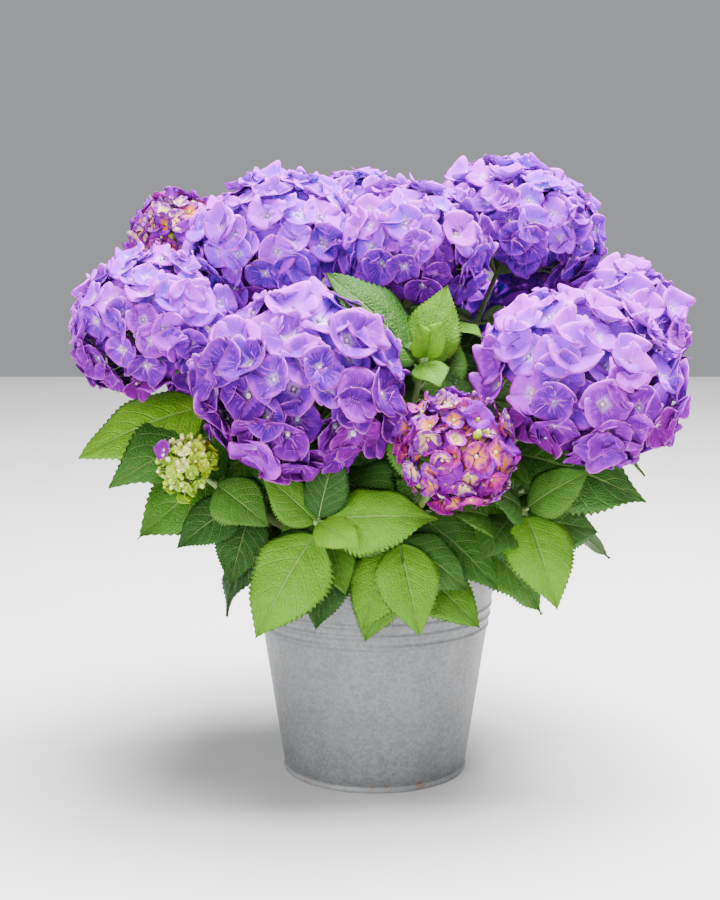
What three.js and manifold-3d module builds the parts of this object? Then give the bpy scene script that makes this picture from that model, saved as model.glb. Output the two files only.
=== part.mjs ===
// Potted hydrangea shrub: round flower heads over a low crown of broad leaves, in a zinc bucket.
// Millimetres, +Z up, the front towards -Y, the origin at the centre of the pot's flat underside.

import * as THREE from 'three';
import { mergeVertices } from 'three/addons/utils/BufferGeometryUtils.js';
import Module from 'manifold-3d';

const wasm = await Module();
wasm.setup();
const { Manifold } = wasm;

// Pot: a tapered bucket of sheet zinc
const potHeight = 232;
const potBaseRadius = 94;
const potTopRadius = 128.6;
const potWall = 1.5;
const potFloor = 2;
const seamHeight = 5;
const seamProud = 1.5;
const rimBeadRadius = 3.2;
const rimTuck = 6;
const ridgeHeights = [155, 166, 177];
const ridgeHalfWidth = 3;
const ridgeProud = 1.6;
const potSides = 44;

// Soil, and the woody crown that sits on it
const soilHeight = 200;
const soilEdgeDrop = 3;
const soilShoulder = 0.85;
const crownRadius = 34;
const crownRises = [0, 25, 50, 72];
const crownSides = 16;

// Stems: each is a bough, then a leafy shoot, then a flower stalk, on one curve from inside the crown
const gap = 0.3;
const stemSeat = 26;
const stemSweep = 0.48;
const boughEnd = 0.34;
const stalkShare = 0.98;
const boughRadii = [5.2, 4.5];
const shootRadii = [4.5, 3.5];
const stalkRadii = [3.5, 2.8];

// Leaves: the outline is the share of the leaf's length from its root, and half the width there
const leafOutline = [[0, 0], [0.14, 0.02], [0.42, 0.28], [0.76, 0.21], [1, 0]];
const leafThickness = 0.022;
const leafArch = 0.07;
const leafRoot = 3;
const leafLength = 122;
const leafLengthSpread = 0.2;
const leafLean = 62;
const leafSag = 0.3;
const leafFaceRise = 38;
const frontBearing = 270;

// Leaf pairs: place on the leafy part of the stem, and length beside a full leaf's
const pairsUnderHead = [[0.06, 1], [0.35, 1.08], [0.66, 1.02], [0.94, 0.86]];
const pairsOfLeafyStem = [[0.2, 0.95], [0.45, 1.05], [0.72, 1], [0.98, 0.78]];
const pairTurn = 90;
const turnSpread = 24;

// A leaf in the way of something tries again, aside, lower and smaller, and may cross a leaf of its own
// stem by no more than the room, in cubic millimetres
const leafTries = 7;
const trySwing = 15;
const trySag = 0.25;
const tryShrink = 0.05;
const leafRoom = 60;

// A pair leaf is also in the way where it would hang too low, or stand before a leaf that shows: seen from
// the front at this rise, along the middle of both, nearer than a share of the shown leaf's length
const lowestTip = 185;
const viewRise = 8;
const shownClear = 0.24;
const testPlaces = [0.25, 0.4, 0.55, 0.7, 0.85, 1];

// Flower heads: sizes are shares of the head's radius, the cover is in degrees from its middle
const coreShare = 0.74;
const floretShare = 0.37;
const floretReach = 0.97;
const floretDish = 0.16;
const floretRoot = 0.42;
const headCover = 118;
const goldenTurn = 2.399963;
const floretSpin = 1.7;
const headKinds = {
  open: { florets: 18, size: 1 },
  young: { florets: 15, size: 1.02 },
  bud: { florets: 12, size: 1.05 },
};

// The stems, named by where they stand. The bearing is in degrees from +X, the slope in degrees above
// level at the crown; reach and height lead to the middle of the head, or to the last leaf pair. The
// head is its radius, flat its depth beside its width, and squash its height if it is lower than round.
// The leaves listed are those that show in front, each as [place on the stem, turn, rise, length, bearing
// it faces if not the front].
const stems = [
  { name: 'left', bearing: 195, reach: 225, height: 467, slope: 45, head: 84, flat: 0.94, kind: 'open',
    squash: 0.95, leaves: [[0.7, 193, -20, 145, 240], [0.6, 218, -15, 150], [0.5, 215, -27, 152]] },
  { name: 'upper_left', bearing: 164, reach: 217, height: 553, slope: 55, head: 45, flat: 0.94,
    kind: 'young' },
  { name: 'top_left', bearing: 177, reach: 104, height: 538, slope: 76, head: 95, flat: 0.8, kind: 'open' },
  { name: 'top', bearing: 308, reach: 63, height: 543, slope: 80, head: 74, flat: 0.86, kind: 'open' },
  { name: 'top_back', bearing: 99, reach: 101, height: 560, slope: 70, head: 66, flat: 0.9, kind: 'open' },
  { name: 'front', bearing: 245, reach: 168, height: 418, slope: 50, head: 99, flat: 0.95, kind: 'open',
    squash: 0.94 },
  { name: 'top_right', bearing: 18, reach: 153, height: 558, slope: 68, head: 97, flat: 0.8, kind: 'open',
    squash: 0.88 },
  { name: 'right', bearing: 328, reach: 228, height: 421, slope: 45, head: 105, flat: 0.86, kind: 'open',
    squash: 0.84, leaves: [[0.63, 352, -18, 148]] },
  { name: 'far_right', bearing: 0, reach: 255, height: 463, slope: 42, head: 66, flat: 0.9, kind: 'open' },
  { name: 'young', bearing: 291, reach: 203, height: 360, slope: 40, head: 55, flat: 1, kind: 'young' },
  { name: 'bud', bearing: 216, reach: 220, height: 336, slope: 30, head: 30, flat: 0.9, kind: 'bud',
    leaves: [[0.86, -48, -20, 86, 250], [0.7, 203, -30, 80], [0.65, 245, -56, 84]] },
  { name: 'back', bearing: 80, reach: 212, height: 492, slope: 50, head: 93, flat: 0.85, kind: 'open' },
  { name: 'back_left', bearing: 139, reach: 200, height: 428, slope: 48, head: 90, flat: 0.88,
    kind: 'open' },
  { name: 'back_right', bearing: 43, reach: 222, height: 418, slope: 48, head: 92, flat: 0.88,
    kind: 'open' },
  { name: 'low_back', bearing: 102, reach: 222, height: 348, slope: 38, head: 58, flat: 0.95,
    kind: 'young' },
  { name: 'middle', bearing: 288, reach: 147, height: 443, slope: 62,
    leaves: [[0.93, 190, 46, 131, 300], [0.93, 11, 73, 86], [0.97, -75, -17, 56], [0.8, 11, -5, 88],
      [1, 253, 49, 44], [1, -48, 51, 46]] },
  { name: 'low_front_left', bearing: 253, reach: 189, height: 293, slope: 20,
    leaves: [[0.95, 208, -56, 121], [0.95, 171, 41, 72], [1, -49, -15, 62], [1, -10, 4, 113],
      [0.8, -63, -52, 60]] },
  { name: 'low_front', bearing: 277, reach: 161, height: 274, slope: 22,
    leaves: [[0.9, 223, -61, 90], [1, -56, -67, 95], [1, 4, -37, 86], [0.8, 213, -70, 95]] },
  { name: 'low_right_front', bearing: 315, reach: 199, height: 297, slope: 24,
    leaves: [[1, -18, 33, 76], [1, -62, -55, 102], [0.9, 247, -30, 44], [0.9, 245, -20, 76],
      [0.7, -13, -22, 62]] },
  { name: 'low_right', bearing: 14, reach: 176, height: 300, slope: 22 },
  { name: 'low_back_right', bearing: 62, reach: 172, height: 292, slope: 24 },
  { name: 'low_back_left', bearing: 124, reach: 172, height: 292, slope: 24 },
  { name: 'low_left', bearing: 168, reach: 176, height: 300, slope: 24 },
];

const materials = {
  zinc: new THREE.MeshStandardMaterial({ color: 0x9fa4a6, roughness: 0.5, metalness: 0.7 }),
  soil: new THREE.MeshStandardMaterial({ color: 0x3a2c22, roughness: 1, metalness: 0 }),
  bark: new THREE.MeshStandardMaterial({ color: 0x7a6a4c, roughness: 0.85, metalness: 0 }),
  leaf: new THREE.MeshStandardMaterial({ color: 0x4f8a32, roughness: 0.55, metalness: 0 }),
  open: new THREE.MeshStandardMaterial({ color: 0x7d55d8, roughness: 0.7, metalness: 0 }),
  young: new THREE.MeshStandardMaterial({ color: 0xb455c4, roughness: 0.7, metalness: 0 }),
  bud: new THREE.MeshStandardMaterial({ color: 0xb9cc4a, roughness: 0.7, metalness: 0 }),
};

// The parts so far: for each node its material and the solids it is joined from
const parts = new Map();

// The leaves that show in front, each as its root, direction and length
const shown = [];

let seed = 2718;
function random() {
  seed = (seed * 16807) % 2147483647;
  return seed / 2147483647;
}

function radians(degrees) {
  return THREE.MathUtils.degToRad(degrees);
}

function direction(bearing, rise) {
  const level = Math.cos(radians(rise));
  return new THREE.Vector3(
    level * Math.cos(radians(bearing)), level * Math.sin(radians(bearing)), Math.sin(radians(rise)));
}

// A closed solid from a three.js geometry, its vertices merged and then moved by place
function solid(geometry, place) {
  const bare = new THREE.BufferGeometry();
  bare.setAttribute('position', geometry.getAttribute('position').clone());
  bare.setIndex(geometry.getIndex());
  const merged = mergeVertices(bare, 1e-4);
  const positions = merged.getAttribute('position');
  const point = new THREE.Vector3();
  for (let i = 0; i < positions.count; i += 1) {
    const moved = place(point.fromBufferAttribute(positions, i));
    positions.setXYZ(i, moved.x, moved.y, moved.z);
  }
  const corners = merged.getIndex().array;
  const triangles = [];
  for (let i = 0; i < corners.length; i += 3) {
    const [a, b, c] = corners.slice(i, i + 3);
    if (a !== b && b !== c && c !== a) triangles.push(a, b, c);
  }
  return new Manifold(new wasm.Mesh({
    numProp: 3, vertProperties: new Float32Array(positions.array), triVerts: new Uint32Array(triangles) }));
}

// A solid turned about +Z from a list of [radius, height]
function turned(profile, sides) {
  const points = profile.map(([radius, height]) => new THREE.Vector2(radius, height));
  return solid(new THREE.LatheGeometry(points, sides), (p) => new THREE.Vector3(p.x, -p.z, p.y));
}

// A tapered round limb along a stem's curve, between two shares of it
function limb(curve, from, to, radii, sides, steps) {
  return solid(new THREE.CylinderGeometry(radii[1], radii[0], 1, sides, steps), (p) => {
    const share = from + (to - from) * (p.y + 0.5);
    const along = curve.getTangent(share);
    const across = new THREE.Vector3().crossVectors(curve.side, along);
    return curve.getPoint(share).addScaledVector(curve.side, p.x).addScaledVector(across, p.z);
  });
}

function addPart(name, look, pieces) {
  parts.set(name, { look, pieces: pieces.map((piece) => ({ piece, box: piece.boundingBox() })) });
}

function boxesMeet(a, b) {
  return [0, 1, 2].every((i) => a.min[i] - gap < b.max[i] && b.min[i] - gap < a.max[i]);
}

// Adds a piece to its node if it stays clear of every other node, and shares no more than the room
// given with any piece of its own
function addIfClear(name, piece, room) {
  const box = piece.boundingBox();
  for (const [other, { pieces }] of parts) {
    for (const there of pieces.filter((item) => boxesMeet(box, item.box))) {
      if (other !== name && piece.minGap(there.piece, 2 * gap) < gap) return false;
      if (other === name && piece.intersect(there.piece).volume() > room) return false;
    }
  }
  parts.get(name).pieces.push({ piece, box });
  return true;
}

function potRadius(height) {
  return potBaseRadius + (potTopRadius - potBaseRadius) * (height / potHeight);
}

// The pot: base seam, straight tapered wall with three pressed ridges, and a rolled rim
function potSolid() {
  const profile = [[0, 0], [potRadius(0) + seamProud, 0], [potRadius(seamHeight) + seamProud, seamHeight],
    [potRadius(seamHeight + 1), seamHeight + 1]];
  for (const height of ridgeHeights) {
    profile.push([potRadius(height - ridgeHalfWidth), height - ridgeHalfWidth]);
    profile.push([potRadius(height) + ridgeProud, height]);
    profile.push([potRadius(height + ridgeHalfWidth), height + ridgeHalfWidth]);
  }
  const beadHeight = potHeight - rimBeadRadius;
  for (let turn = -70; turn <= 170; turn += 40) {
    profile.push([potRadius(beadHeight) + rimBeadRadius * Math.cos(radians(turn)),
      beadHeight + rimBeadRadius * Math.sin(radians(turn))]);
  }
  profile.push([potRadius(beadHeight - rimTuck) - potWall, beadHeight - rimTuck]);
  profile.push([potRadius(potFloor) - potWall, potFloor], [0, potFloor]);
  return turned(profile, potSides);
}

// The soil, a little lower at the wall
function soilSolid() {
  const foot = potFloor + gap;
  const edge = soilHeight - soilEdgeDrop;
  const inside = (height) => potRadius(height) - potWall - 2 * gap;
  return turned([[0, foot], [inside(foot), foot], [inside(edge), edge],
    [inside(edge) * soilShoulder, soilHeight], [0, soilHeight]], potSides);
}

// The crown: a low woody dome, made larger all round by the margin
function crownSolid(margin) {
  const radius = crownRadius + margin;
  const foot = soilHeight + gap - margin;
  const dome = crownRises.map((rise) => [
    radius * Math.cos(radians(rise)), foot + radius * Math.sin(radians(rise))]);
  return turned([[0, foot], ...dome, [0, foot + radius]], crownSides);
}

// The curve of a stem leaves the crown at its slope and turns up towards its head
function stemCurve(stem) {
  const start = direction(stem.bearing, stem.slope);
  const foot = new THREE.Vector3(0, 0, soilHeight).addScaledVector(start, stemSeat);
  const tip = direction(stem.bearing, 0).multiplyScalar(stem.reach).setZ(stem.height);
  const bend = foot.clone().addScaledVector(start, stemSweep * foot.distanceTo(tip));
  const curve = new THREE.QuadraticBezierCurve3(foot, bend, tip);
  curve.side = direction(stem.bearing + 90, 0);
  return curve;
}

// The leafy part of a stem ends where its flower stalk starts, just under the head
function leafyEnd({ curve, head = 0 }) {
  let share = 1;
  while (head && curve.getPoint(share).distanceTo(curve.v2) < stalkShare * head) share -= 0.005;
  return share;
}

// Half the gap between two limbs that meet on a curve, as a share of the curve
function halfGap(curve, share) {
  const step = 0.01;
  return (gap * step) / (2 * curve.getPoint(share).distanceTo(curve.getPoint(share - step)));
}

function coreSolid(stem) {
  const axis = stem.curve.getTangent(1);
  return solid(new THREE.IcosahedronGeometry(coreShare * stem.head, 0), (p) => {
    const flattened = p.clone().addScaledVector(axis, (stem.flat - 1) * p.dot(axis));
    flattened.z *= stem.squash ?? 1;
    return flattened.add(stem.curve.v2);
  });
}

// The limbs of a stem, and the core of its head
function addLimbs(stem) {
  const { name, curve, shootEnd } = stem;
  const crown = crownSolid(gap);
  if (!stem.head) {
    addPart(`shoot_${name}`, materials.leaf, [limb(curve, 0, 1, shootRadii, 5, 4).subtract(crown)]);
    return;
  }
  const low = halfGap(curve, boughEnd);
  const high = halfGap(curve, shootEnd);
  const bough = limb(curve, 0, boughEnd - low, boughRadii, 5, 3).subtract(crown);
  const shoot = limb(curve, boughEnd + low, shootEnd - high, shootRadii, 4, 2);
  const stalk = limb(curve, shootEnd + high, 1, stalkRadii, 4, 1);
  addPart(`bough_${name}`, materials.bark, [bough]);
  addPart(`shoot_${name}`, materials.leaf, [shoot]);
  addPart(`head_${name}`, materials[stem.kind], [stalk, coreSolid(stem)]);
}

// A leaf at a place on a stem: a blade with its keel below, arched from root to tip, its face turned
// up and towards a bearing
function leafSolid(stem, share, along, length, facing) {
  const outward = direction(facing, leafFaceRise);
  const face = outward.addScaledVector(along, -outward.dot(along)).normalize();
  const across = new THREE.Vector3().crossVectors(along, face);
  const root = stem.curve.getPoint(share).addScaledVector(along, -leafRoot);
  const reach = length + leafRoot;
  const rings = leafOutline.length - 1;
  return solid(new THREE.SphereGeometry(1, 3, rings), (p) => {
    const ring = Math.round((Math.acos(THREE.MathUtils.clamp(p.y, -1, 1)) / Math.PI) * rings);
    const [place, halfWidth] = leafOutline[ring];
    const atEnd = ring === 0 || ring === rings;
    const onEdge = !atEnd && Math.abs(p.z) > 0.01;
    const out = onEdge ? Math.sign(p.z) * halfWidth : 0;
    const below = onEdge || atEnd ? 0 : leafThickness;
    return root.clone()
      .addScaledVector(along, place * reach)
      .addScaledVector(across, out * reach)
      .addScaledVector(face, (4 * leafArch * place * (1 - place) - below) * reach);
  });
}

// The leaves that show in front
function addShownLeaves(stem) {
  for (const [share, turn, rise, length, facing = frontBearing] of stem.leaves ?? []) {
    const along = direction(turn, rise);
    const leaf = leafSolid(stem, share, along, length, facing);
    if (addIfClear(`shoot_${stem.name}`, leaf, Infinity)) {
      shown.push({ root: stem.curve.getPoint(share), along, length });
    }
  }
}

// Whether a pair leaf hangs too low, or stands before a leaf that shows
function standsInTheWay(root, along, length) {
  if (root.z + along.z * length < lowestTip) return true;
  const toViewer = direction(frontBearing, viewRise);
  return shown.some((leaf) => testPlaces.some((far) => testPlaces.some((near) => {
    const apart = root.clone().addScaledVector(along, near * length)
      .sub(leaf.root).addScaledVector(leaf.along, -far * leaf.length);
    const ahead = apart.dot(toViewer);
    return ahead > 0 && apart.addScaledVector(toViewer, -ahead).length() < shownClear * leaf.length;
  })));
}

// The direction of a leaf that leans out from its stem at a turn about it, and sags
function leanOut(stem, share, turn, sag) {
  const along = stem.curve.getTangent(share);
  const across = new THREE.Vector3().crossVectors(stem.curve.side, along);
  const out = stem.curve.side.clone().multiplyScalar(Math.cos(radians(turn)))
    .addScaledVector(across, Math.sin(radians(turn)));
  const lean = along.multiplyScalar(Math.cos(radians(leafLean)))
    .addScaledVector(out, Math.sin(radians(leafLean)));
  lean.z -= sag;
  return lean.normalize();
}

// Opposite pairs of leaves up the stem, each pair turned a quarter from the last
function addPairs(stem) {
  const pairs = stem.head ? pairsUnderHead : pairsOfLeafyStem;
  const first = 360 * random();
  pairs.forEach(([place, size], pair) => {
    const share = boughEnd + (stem.shootEnd - boughEnd) * place;
    for (const half of [0, 180]) {
      const turn = first + pairTurn * pair + half + turnSpread * (random() - 0.5);
      const length = leafLength * size * (1 + leafLengthSpread * (random() - 0.5));
      for (let attempt = 0; attempt < leafTries; attempt += 1) {
        const swing = trySwing * Math.ceil(attempt / 2) * (attempt % 2 ? 1 : -1);
        const along = leanOut(stem, share, turn + swing, leafSag * (1 + trySag * attempt));
        const reach = length * (1 - tryShrink * attempt);
        if (standsInTheWay(stem.curve.getPoint(share), along, reach)) continue;
        const leaf = leafSolid(stem, share, along, reach, stem.bearing);
        if (addIfClear(`shoot_${stem.name}`, leaf, leafRoom)) break;
      }
    }
  });
}

// A floret: a dished square of four petals, on a root sunk in the core
function floretSolid(eye, outward, radius, spin, root) {
  const side = new THREE.Vector3(0.31, 0.52, 0.8).cross(outward).normalize().applyAxisAngle(outward, spin);
  const across = new THREE.Vector3().crossVectors(side, outward);
  return solid(new THREE.SphereGeometry(1, 4, 2), (p) => {
    if (p.y > 0.5) return eye.clone().addScaledVector(outward, -floretDish * radius);
    if (p.y < -0.5) return eye.clone().addScaledVector(outward, -root);
    return eye.clone().addScaledVector(side, p.x * radius).addScaledVector(across, p.z * radius);
  });
}

// Florets spread evenly over a head, from its middle to past its widest part
function addFlorets(stem) {
  const { florets, size } = headKinds[stem.kind];
  const { squash = 1 } = stem;
  const axis = stem.curve.getTangent(1);
  const side = direction(stem.bearing + 90, 0);
  const cover = 1 - Math.cos(radians(headCover));
  for (let i = 0; i < florets; i += 1) {
    const polar = Math.acos(1 - (cover * (i + 0.5)) / florets);
    const round = axis.clone().applyAxisAngle(side, polar).applyAxisAngle(axis, i * goldenTurn);
    const eye = round.clone().multiplyScalar(floretReach * stem.head);
    eye.addScaledVector(axis, (stem.flat - 1) * eye.dot(axis)).setZ(squash * eye.z).add(stem.curve.v2);
    const outward = round.addScaledVector(axis, (1 / stem.flat - 1) * round.dot(axis));
    outward.setZ(outward.z / squash).normalize();
    const radius = floretShare * size * stem.head;
    const floret = floretSolid(eye, outward, radius, i * floretSpin, floretRoot * stem.head);
    addIfClear(`head_${stem.name}`, floret, Infinity);
  }
}

// One mesh of all the solids of a part
function partMesh(name, { look, pieces }) {
  const joined = Manifold.union(pieces.map(({ piece }) => piece)).getMesh();
  const geometry = new THREE.BufferGeometry();
  geometry.setAttribute('position', new THREE.BufferAttribute(joined.vertProperties, 3));
  geometry.setIndex(new THREE.BufferAttribute(joined.triVerts, 1));
  geometry.computeVertexNormals();
  const mesh = new THREE.Mesh(geometry, look);
  mesh.name = name;
  return mesh;
}

addPart('zinc_pot', materials.zinc, [potSolid()]);
addPart('potting_soil', materials.soil, [soilSolid()]);
addPart('crown', materials.bark, [crownSolid(0)]);
for (const stem of stems) {
  stem.curve = stemCurve(stem);
  stem.shootEnd = leafyEnd(stem);
  addLimbs(stem);
}
stems.forEach(addShownLeaves);
stems.filter((stem) => stem.head).forEach(addFlorets);
stems.forEach(addPairs);

const group = new THREE.Group();
for (const [name, part] of parts) group.add(partMesh(name, part));

export default group;
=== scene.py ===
import math

import bmesh
import bpy
import numpy as np
from mathutils import Matrix, Vector, kdtree, noise


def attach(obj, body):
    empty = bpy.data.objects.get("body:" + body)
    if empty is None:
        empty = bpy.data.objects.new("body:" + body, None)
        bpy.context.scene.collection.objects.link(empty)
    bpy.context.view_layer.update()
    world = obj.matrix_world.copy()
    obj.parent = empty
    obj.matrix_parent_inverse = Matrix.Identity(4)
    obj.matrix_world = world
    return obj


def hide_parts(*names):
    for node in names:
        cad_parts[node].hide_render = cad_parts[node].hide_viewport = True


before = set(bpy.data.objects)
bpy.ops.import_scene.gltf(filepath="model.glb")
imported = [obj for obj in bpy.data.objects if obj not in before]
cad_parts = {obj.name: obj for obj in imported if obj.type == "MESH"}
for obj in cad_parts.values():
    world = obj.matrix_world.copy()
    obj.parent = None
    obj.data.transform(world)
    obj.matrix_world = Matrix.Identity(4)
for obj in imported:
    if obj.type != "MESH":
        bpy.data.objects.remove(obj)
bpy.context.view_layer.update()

# Camera: stands in front of the shrub at the height of its upper flower heads and looks a little
# down, with a short telephoto lens on an upright frame.
camera_place = (-0.0155, -1.74, 0.588)
camera_dip = 8.3
focal_length = 68.4

camera_lens = bpy.data.cameras.new("camera")
camera_lens.lens = focal_length
camera = bpy.data.objects.new("camera", camera_lens)
camera.location = camera_place
camera.rotation_euler = (math.radians(90 - camera_dip), 0, 0)
bpy.context.collection.objects.link(camera)
bpy.context.scene.camera = camera

# Floor: a plain pale sheet of painted board, wide enough to run out of every view.
# Its colour is broken only by a faint cloudiness.
floor_reach = 4.0
floor_colors = [(0.66, 0.65, 0.66), (0.76, 0.75, 0.76)]


def add_node(tree, kind, **settings):
    made = tree.nodes.new(kind)
    for name, value in settings.items():
        setattr(made, name, value)
    return made


def tree_of(*values):
    """The node tree of the first of some values that is a socket."""
    return next(value.id_data for value in values if isinstance(value, bpy.types.NodeSocket))


def put(socket, value):
    """Gives a node's socket a number, a vector, a colour or what another socket puts out."""
    if isinstance(value, bpy.types.NodeSocket):
        socket.id_data.links.new(value, socket)
    elif value is not None:
        if socket.type == "RGBA" and len(value) == 3:
            value = (*value, 1)
        socket.default_value = value


def color_steps(value, colors, interpolation="LINEAR"):
    """A ramp that holds the given colours at equal steps."""
    made = add_node(tree_of(value), "ShaderNodeValToRGB")
    ramp = made.color_ramp
    ramp.interpolation = interpolation
    count = len(colors) - (interpolation == "LINEAR")
    while len(ramp.elements) < len(colors):
        ramp.elements.new(0.5)
    for i, color in enumerate(colors):
        ramp.elements[i].position = i / count
        ramp.elements[i].color = (*color, 1)
    put(made.inputs[0], value)
    return made.outputs[0]


def clouds(place, scale, detail=3.0, roughness=0.5, distortion=0.0):
    made = add_node(tree_of(place), "ShaderNodeTexNoise")
    for name, value in (("Vector", place), ("Scale", scale), ("Detail", detail),
                        ("Roughness", roughness), ("Distortion", distortion)):
        put(made.inputs[name], value)
    return made.outputs["Fac"]


def new_material(name, **values):
    """A material with a Principled shader whose constant sockets are set by name."""
    made = bpy.data.materials.new(name)
    made.use_nodes = True
    shader = made.node_tree.nodes["Principled BSDF"]
    for socket, value in values.items():
        shader.inputs[socket.replace("_", " ")].default_value = value
    return made, made.node_tree, shader


def object_place(tree, scale=(1, 1, 1)):
    """Object coordinates in metres, stretched by the scale."""
    mapping = add_node(tree, "ShaderNodeMapping")
    mapping.inputs["Scale"].default_value = scale
    put(mapping.inputs[0], add_node(tree, "ShaderNodeTexCoord").outputs["Object"])
    return mapping.outputs[0]


def new_piece(name, shape, material, smooth=True):
    """An object at the origin from a bmesh or a mesh."""
    mesh = shape
    if isinstance(shape, bmesh.types.BMesh):
        mesh = bpy.data.meshes.new(name)
        shape.to_mesh(mesh)
        shape.free()
    mesh.name = name
    mesh.materials.clear()
    mesh.materials.append(material)
    mesh.polygons.foreach_set("use_smooth", [smooth] * len(mesh.polygons))
    piece = bpy.data.objects.new(name, mesh)
    bpy.context.collection.objects.link(piece)
    return piece


board, board_tree, board_shader = new_material("pale_floor", Roughness=0.85)
put(board_shader.inputs["Base Color"], color_steps(clouds(object_place(board_tree), 2.5), floor_colors))
floor_sheet = bmesh.new()
bmesh.ops.create_grid(floor_sheet, x_segments=1, y_segments=1, size=floor_reach)
floor = new_piece("floor", floor_sheet, board)

# Light: a broad soft panel overhead on the viewer's right, a weaker one low in front on the left, and
# an even pale surround, as under a bright clouded sky.
lit_place = Vector((0, 0, 0.35))
surround_color = (0.93, 0.96, 1.0)
surround_strength = 0.38

# Each panel's name, place, width, power and colour.
panels = [
    ("sky_panel", (0.50, 0.0, 2.8), 2.2, 600, (1.0, 0.985, 0.96)),
    ("front_panel", (-1.3, -2.4, 0.9), 2.0, 92, (1.0, 0.99, 0.98)),
]
for panel_name, panel_place, panel_width, panel_power, panel_color in panels:
    panel = bpy.data.lights.new(panel_name, "AREA")
    panel.size = panel_width
    panel.energy = panel_power
    panel.color = panel_color
    stand = bpy.data.objects.new(panel_name, panel)
    stand.location = panel_place
    stand.rotation_euler = (lit_place - stand.location).to_track_quat("-Z", "Y").to_euler()
    bpy.context.collection.objects.link(stand)
surround = bpy.data.worlds.new("surround")
surround.use_nodes = True
sky = surround.node_tree.nodes["Background"]
put(sky.inputs["Color"], surround_color)
put(sky.inputs["Strength"], surround_strength)
bpy.context.scene.world = surround

# Bucket: galvanised sheet zinc in a tapered tube, with three ridges pressed round it below the rim,
# a wired rim rolled outwards, a lapped seam down the back, and a base that is let in behind a
# folded foot seam.
pot_height = 0.232
pot_base_radius = 0.094
pot_top_radius = 0.1286
pot_wall = 0.0015
pot_steps = 144
foot_seam_height = 0.0055
foot_seam_proud = 0.0016
foot_seam_width = 0.004
foot_seam_roll = 0.0012
foot_seam_step = 0.0006
foot_chamfer = 0.0008
foot_flat_inset = 0.002
base_let_in = 0.003
base_inside = 0.0045
wall_rings = 11
ridge_heights = (0.155, 0.166, 0.177)
ridge_half_width = 0.0042
ridge_proud = 0.0013
ridge_rings = 5
collar_rings = 4
collar_short = 0.0065
bead_radius = 0.0032
bead_tuck = 0.006
lap_width = 0.009
lap_proud = 0.0011
lap_edge = 0.0005
lap_foot_gap = 0.001
lap_rim_gap = 0.004


def wall_radius(height):
    return pot_base_radius + (pot_top_radius - pot_base_radius) * height / pot_height


def turned(outline, steps):
    """A body turned about the upright axis from a list of (radius, height) that starts and ends on it."""
    shape = bmesh.new()
    corners = [shape.verts.new((radius, 0, height)) for radius, height in outline]
    edges = [shape.edges.new(pair) for pair in zip(corners, corners[1:])]
    bmesh.ops.spin(shape, geom=corners + edges, cent=(0, 0, 0), axis=(0, 0, 1), dvec=(0, 0, 0),
                   angle=2 * math.pi, steps=steps, use_merge=True, use_duplicate=False)
    bmesh.ops.remove_doubles(shape, verts=shape.verts, dist=1e-6)
    bmesh.ops.recalc_face_normals(shape, faces=shape.faces)
    return shape


def arc(radius, height, wide, tall, turns):
    """Points of an outline that roll round a middle, at some turns in degrees above level."""
    return [(radius + wide * math.cos(math.radians(turn)), height + tall * math.sin(math.radians(turn)))
            for turn in turns]


foot_inside = pot_base_radius - foot_seam_width
bucket_outline = [(0, base_let_in), (foot_inside, base_let_in), (foot_inside + foot_chamfer, foot_chamfer),
                  (foot_inside + foot_flat_inset, 0)]
bucket_outline += arc(pot_base_radius + foot_seam_proud - foot_seam_roll, foot_seam_height / 2,
                      foot_seam_roll, foot_seam_height / 2, range(-80, 91, 17))
bucket_outline.append((wall_radius(foot_seam_height), foot_seam_height + foot_seam_step))
for step in range(1, wall_rings):
    height = foot_seam_height + (ridge_heights[0] - ridge_half_width - foot_seam_height) * step / wall_rings
    bucket_outline.append((wall_radius(height), height))
for middle in ridge_heights:
    for step in range(-ridge_rings, ridge_rings + 1):
        height = middle + ridge_half_width * step / ridge_rings
        proud = ridge_proud * math.cos(math.pi * step / (2 * ridge_rings)) ** 2
        bucket_outline.append((wall_radius(height) + proud, height))
bead_height = pot_height - bead_radius
for step in range(1, collar_rings):
    height = ridge_heights[2] + ridge_half_width + (
        bead_height - collar_short - ridge_heights[2]) * step / collar_rings
    bucket_outline.append((wall_radius(height), height))
bucket_outline += arc(wall_radius(bead_height), bead_height, bead_radius, bead_radius, range(-105, 181, 19))
bucket_outline += [(wall_radius(bead_height - bead_tuck) - pot_wall, bead_height - bead_tuck),
                   (wall_radius(base_inside) - pot_wall, base_inside), (0, base_inside)]
bucket_shape = turned(bucket_outline, pot_steps)

lap_low, lap_high = foot_seam_height + lap_foot_gap, bead_height - lap_rim_gap
lap_lean = math.atan2(pot_top_radius - pot_base_radius, pot_height)
lap_centre = (lap_low + lap_high) / 2
lap = bmesh.ops.create_cube(bucket_shape, size=1, matrix=(
    Matrix.Translation((0, wall_radius(lap_centre), lap_centre))
    @ Matrix.Rotation(-lap_lean, 4, "X")
    @ Matrix.Diagonal((lap_width, 2 * lap_proud, (lap_high - lap_low) / math.cos(lap_lean), 1))))
lap_edges = list({edge for corner in lap["verts"] for edge in corner.link_edges})
bmesh.ops.bevel(bucket_shape, geom=lap_edges, offset=lap_edge, segments=2, affect="EDGES", profile=0.5,
                material=-1)


def calc(operation, a, b=None, c=None, clamp=False):
    made = add_node(tree_of(a, b, c), "ShaderNodeMath", operation=operation, use_clamp=clamp)
    for socket, value in zip(made.inputs, (a, b, c)):
        put(socket, value)
    return made.outputs[0]


def weighed(*shares):
    """The sum of some values, each times its weight."""
    total = calc("MULTIPLY", *shares[-1])
    for value, weight in reversed(shares[:-1]):
        total = calc("MULTIPLY_ADD", value, weight, total)
    return total


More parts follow.
